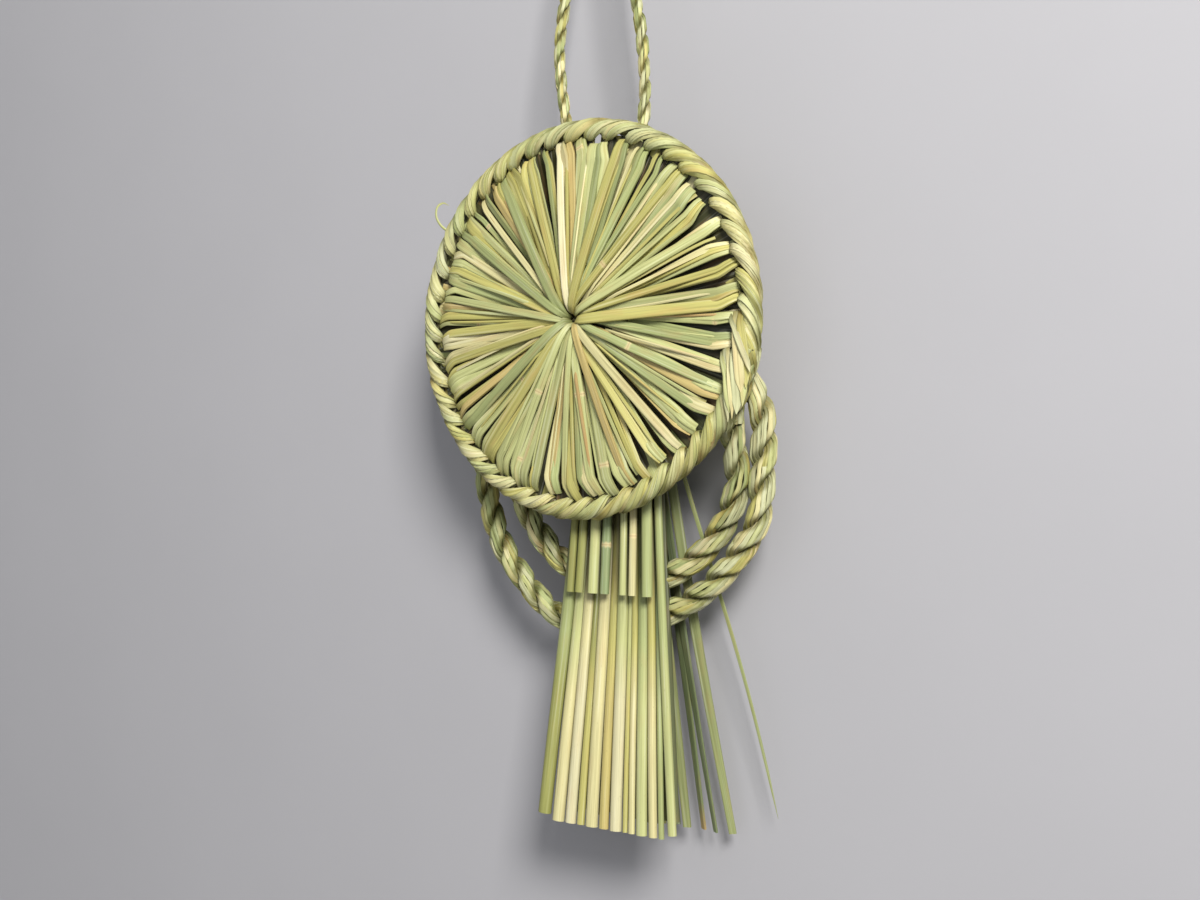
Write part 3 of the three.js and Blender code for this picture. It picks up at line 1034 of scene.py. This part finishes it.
def fold_straw(i):
    x = np.interp(i, [0, FOLD_STRAWS - 1], [fold_low[0] + 1.4, fold_high[0] - 1.4])
    arc = np.linspace(math.pi, 0, 13)
    over = np.stack(
        [fold_y + fold_radius * np.cos(arc), fold_top_z + fold_radius * np.sin(arc)], axis=1
    )
    legs = [[3.2, fold_low[2] - 5], [3.3, fold_low[2] + 1], [5.4, fold_low_z - 4.5]]
    front = [[fold_y - out, z] for out, z in legs] + [[fold_y - fold_radius, fold_low_z]]
    back = [[fold_y + out, z] for out, z in legs] + [[fold_y + fold_radius, fold_low_z]]
    section = np.vstack([front, over, back[::-1]])
    line = smooth_line(np.insert(section, 0, x + rng.uniform(-0.2, 0.2), axis=1), step=2.0)
    middle = np.array([x, fold_y, (fold_top_z + fold_low_z) / 2])
    wide, deep = rng.uniform(2.3, 2.9), rng.uniform(1.3, 1.9)
    return lay(rope_straw, line, line - middle, wide, deep, disc_tone())


fold = join("skirt_fold_straws", [fold_straw(i) for i in range(FOLD_STRAWS)])
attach(fold, "root")
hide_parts("skirt_fold")
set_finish(fold, "back_skirt_straw")

# %% Tie round the neck
tie_low, tie_high = box_mm("skirt_tie")
TIE_TURNS = 4
turn_height = (tie_high[2] - tie_low[2]) / TIE_TURNS
tie_middle = (tie_low + tie_high) / 2
tie_reach = (tie_high - tie_low) / 2 - turn_height / 2
round_about = np.linspace(0, 2 * math.pi * TIE_TURNS, 90 * TIE_TURNS)


def rounded(value):
    return np.sign(value) * np.sqrt(np.abs(value))


tie_route = np.stack(
    [
        tie_middle[0] + tie_reach[0] * rounded(np.cos(round_about)),
        tie_middle[1] + tie_reach[1] * rounded(np.sin(round_about)),
        np.interp(
            round_about,
            [0, round_about[-1]],
            [tie_low[2] + turn_height / 2, tie_high[2] - turn_height / 2],
        ),
    ],
    axis=1,
)
tie_line = smooth_line(tie_route[::4], step=0.6)
tie = join(
    "skirt_tie_cord",
    twisted_straws(tie_line, turn_height / 2, 5.5, 5, 40, rope_tone, rope_straw),
)
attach(tie, "root")
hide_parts("skirt_tie")
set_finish(tie, "cord_straw")

# %% Knot of the hanging cord
knot_low, knot_high = box_mm("cord_knot")
knot_middle, knot_reach = (knot_low + knot_high) / 2, (knot_high - knot_low) / 2
turn = np.linspace(0, 2 * math.pi, 60)
knot_route = np.stack(
    [
        knot_middle[0] + (knot_reach[0] - 2) * (0.62 + 0.38 * np.cos(3 * turn)) * np.cos(2 * turn),
        knot_middle[1] + (knot_reach[1] - 1.9) * np.sin(3 * turn),
        knot_middle[2] + (knot_reach[2] - 2) * (0.62 + 0.38 * np.cos(3 * turn)) * np.sin(2 * turn),
    ],
    axis=1,
)
knot = join(
    "cord_knot_turns",
    twisted_straws(smooth_line(knot_route, step=0.6), 1.9, 12, 5, 50, rope_tone, rope_straw),
)
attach(knot, "root")
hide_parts("cord_knot")
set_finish(knot, "cord_straw")

# %% [markdown]
# ## Shader maths as expressions
# A shader is a graph of small nodes, which is tedious to write one link at a time. This class
# wraps a socket, so that `1 - mask` or `a * 0.3 + b` adds the Math nodes by itself. Colours go
# through Mix, because a Math node would turn them grey.

# %% Sockets and nodes
class Value:
    def __init__(self, shader, socket):
        self.shader, self.socket = shader, socket

    def _maths(self, operation, first, second):
        return self.shader.node("ShaderNodeMath", {"operation": operation}, {0: first, 1: second})

    def __add__(self, other):
        return self._maths("ADD", self, other)

    def __sub__(self, other):
        return self._maths("SUBTRACT", self, other)

    def __rsub__(self, other):
        return self._maths("SUBTRACT", other, self)

    def __mul__(self, other):
        return self._maths("MULTIPLY", self, other)

    def __truediv__(self, other):
        return self._maths("DIVIDE", self, other)

    __radd__ = __add__
    __rmul__ = __mul__


class Shader:
    """A material's node tree."""

    def __init__(self, name):
        self.material = bpy.data.materials.new(name)
        self.material.use_nodes = True
        self.tree = self.material.node_tree
        self.surface = self.tree.nodes["Principled BSDF"]

    def node(self, kind, settings=None, inputs=None, output=0):
        """Adds a node, sets it, and feeds its inputs with numbers, colours or other values."""
        made = self.tree.nodes.new(kind)
        for key, setting in (settings or {}).items():
            if key == "stops":
                ramp = made.color_ramp
                while len(ramp.elements) < len(setting):
                    ramp.elements.new(0.5)
                for stop, (place, level) in zip(ramp.elements, setting):
                    stop.position, stop.color = place, (level, level, level, 1)
            else:
                setattr(made, key, setting)
        for key, value in (inputs or {}).items():
            self.feed(made.inputs[key], value)
        return Value(self, made.outputs[output])

    def feed(self, socket, value):
        if isinstance(value, Value):
            self.tree.links.new(value.socket, socket)
        else:
            socket.default_value = value

    def attribute(self, name, output):
        return self.node("ShaderNodeAttribute", {"attribute_name": name}, output=output)

    def noise(self, place, scale, detail=2.0, roughness=0.5):
        scaled = self.node("ShaderNodeMapping", inputs={"Vector": place, "Scale": scale})
        return self.node(
            "ShaderNodeTexNoise",
            inputs={"Vector": scaled, "Scale": 1.0, "Detail": detail, "Roughness": roughness},
        )

    def ramp(self, value, *stops):
        return self.node("ShaderNodeValToRGB", {"stops": stops}, {"Fac": value})

    def mix(self, share, first, second, blend="MIX"):
        settings = {"data_type": "RGBA", "blend_type": blend}
        return self.node("ShaderNodeMix", settings, {0: share, 6: first, 7: second}, output=2)

    def set(self, **inputs):
        for key, value in inputs.items():
            self.feed(self.surface.inputs[key.replace("_", " ")], value)


# %% [markdown]
# ## Straw
# Up close a dried straw has fine ribs along it, a few darker ribs, slow changes from greenish
# to yellowish along its length, and now and then a joint, a pale tan ring. The grain reads the
# coordinates that each straw carries, stretched along the straw, so the ribs follow every
# bend of the rope. Straw is satin, so it is neither glossy nor matt, and its ribs are bumped.

# %% Materials of the straws
WARM = (*linear(196, 142, 88), 1)
JOINT_TAN = (*linear(222, 200, 152), 1)
JOINT_LINE = (*linear(150, 108, 70), 1)
SHADE = (*linear(104, 98, 52), 1)


def straw_material(name, rib_depth=0.00006, roughness=0.5, warmth=0.25, dirt=0.5, painted_shade=0.5):
    shader = Shader(name)
    colour = shader.attribute("straw_colour", "Color")
    grain = shader.attribute("grain", "Vector")
    edge = shader.attribute("edge", "Fac")
    from_joint = shader.attribute("from_joint", "Fac")

    ribs = shader.noise(grain, (3.4, 3.4, 0.05), detail=3)
    streaks = shader.noise(grain, (1.25, 1.25, 0.022), detail=2)
    patches = shader.noise(grain, (0.3, 0.3, 0.07), detail=2)
    specks = shader.noise(grain, (2.2, 2.2, 0.7), detail=1)

    rib_shade = shader.ramp(ribs, (0.32, 0.0), (0.6, 1.0))
    dark_streak = shader.ramp(streaks, (0.34, 1.0), (0.44, 0.0))
    pale_streak = shader.ramp(streaks, (0.56, 0.0), (0.7, 1.0))
    warm_patch = shader.ramp(patches, (0.52, 0.0), (0.75, 1.0))
    speck = shader.ramp(specks, (0.7, 0.0), (0.8, 1.0))
    # Painted shade between neighbouring straws: the colour darkens towards each straw's edges.
    painted_edge_shade = shader.ramp(edge, (0.72, 0.0), (1.0, 1.0))

    shaded = shader.mix(0.6, colour, SHADE, "MULTIPLY")
    lighter = shader.mix(0.35, colour, (1, 1, 0.9, 1))
    base = shader.mix(rib_shade * 0.4 + 0.6, shaded, colour)
    base = shader.mix(dark_streak * dirt, base, shaded)
    base = shader.mix(pale_streak * 0.4, base, lighter)
    base = shader.mix(warm_patch * warmth, base, WARM)
    # Painted shade at the straw's edges.
    base = shader.mix(painted_edge_shade * painted_shade, base, shaded)
    base = shader.mix(speck * 0.3, base, SHADE)

    near_joint = shader.node("ShaderNodeMath", {"operation": "ABSOLUTE"}, {0: from_joint})
    ragged = near_joint / 2.0 + (streaks - 0.5) * 0.9
    ring = shader.ramp(ragged, (0.25, 1.0), (0.6, 0.0))
    line = shader.ramp(near_joint / 2.0, (0.04, 1.0), (0.16, 0.0))
    base = shader.mix(ring * 0.6, base, JOINT_TAN)
    base = shader.mix(line * 0.35, base, JOINT_LINE)

    bump = shader.node(
        "ShaderNodeBump",
        inputs={"Strength": 0.8, "Distance": rib_depth, "Height": ribs * 0.7 + streaks * 0.5},
    )
    shader.set(Base_Color=base, Roughness=ribs * 0.25 + (roughness - 0.12), Normal=bump)
    shader.set(IOR=1.45)
    return shader.material


FINISHES = {
    "disc_straw": straw_material("disc_straw_satin"),
    "braid_straw": straw_material("braid_straw_split", rib_depth=0.00009, roughness=0.55),
    "rope_straw": straw_material("rope_straw_split", rib_depth=0.00009, roughness=0.58),
    "cord_straw": straw_material("cord_straw_fine", rib_depth=0.00008, roughness=0.6),
    "cream_skirt_straw": straw_material("skirt_culm_cream", 0.00003, 0.5, 0.12, 0.15, 0.35),
    "green_skirt_straw": straw_material("skirt_culm_green", 0.00003, 0.5, 0.1, 0.15, 0.35),
    "back_skirt_straw": straw_material("skirt_blade_sage", 0.00005, 0.55, 0.15, 0.35, 0.4),
}
dressed = [rope, hanging_cord, disc, stub, rim, tail, curl, fold, tie, knot, *SKIRT_PIECES]
for piece in dressed:
    piece.data.materials.clear()
    piece.data.materials.append(FINISHES[piece["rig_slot"]])
for pattern in patterns:
    bpy.data.objects.remove(pattern)

# %% [markdown]
# ## Wall, floor and light
# The ornament hangs a finger's width in front of a pale wall, and the floor is far below. The
# wall is seen only from the front, so that views from behind show the ornament's back. One
# large soft lamp stands to the right, in front and above, and the sky fills the shadows.

# %% Stage
WALL_Y = box_mm("back_straw_01")[1][1] + 6
WALL_SIZE = 6
bpy.ops.mesh.primitive_plane_add(
    size=WALL_SIZE, location=(0, WALL_Y * MM, 0), rotation=(math.pi / 2, 0, 0)
)
wall = bpy.context.object
wall.name = "wall"
FLOOR_Z = -1.1
bpy.ops.mesh.primitive_plane_add(size=WALL_SIZE, location=(0, 0, FLOOR_Z))
floor = bpy.context.object
floor.name = "floor"


def plaster(name, colour, one_sided):
    shader = Shader(name)
    place = shader.node("ShaderNodeTexCoord", output="Object")
    cloud = shader.noise(place, (14, 14, 14), detail=4)
    tint = shader.mix(cloud * 0.5, (*(colour * 0.9), 1), (*colour, 1))
    shader.set(Base_Color=tint, Roughness=0.9)
    if one_sided:
        back = shader.node("ShaderNodeNewGeometry", output="Backfacing")
        shader.set(Alpha=1 - back)
    return shader.material


wall.data.materials.append(plaster("wall_plaster", linear(178, 177, 181), True))
floor.data.materials.append(plaster("floor_plain", linear(215, 213, 210), False))

# %% Light
def soft_lamp(name, place, size, power, warmth):
    bpy.ops.object.light_add(type="AREA", location=place)
    lamp = bpy.context.object
    lamp.name = name
    lamp.data.size = size
    lamp.data.energy = power
    lamp.data.color = warmth
    aim = Vector(look_at * MM) - Vector(place)
    lamp.rotation_euler = aim.to_track_quat("-Z", "Y").to_euler()
    return lamp


soft_lamp("window_lamp", (0.8, -0.85, 0.5), 0.42, 26, (1.0, 0.985, 0.95))
soft_lamp("fill_lamp", (0.1, -1.5, 0.1), 1.4, 3, (0.96, 0.98, 1.0))

world = bpy.data.worlds.new("sky")
bpy.context.scene.world = world
world.use_nodes = True
world.node_tree.nodes["Background"].inputs["Color"].default_value = (0.9, 0.94, 1.0, 1)
world.node_tree.nodes["Background"].inputs["Strength"].default_value = 0.28
bpy.context.scene.view_settings.view_transform = "Standard"
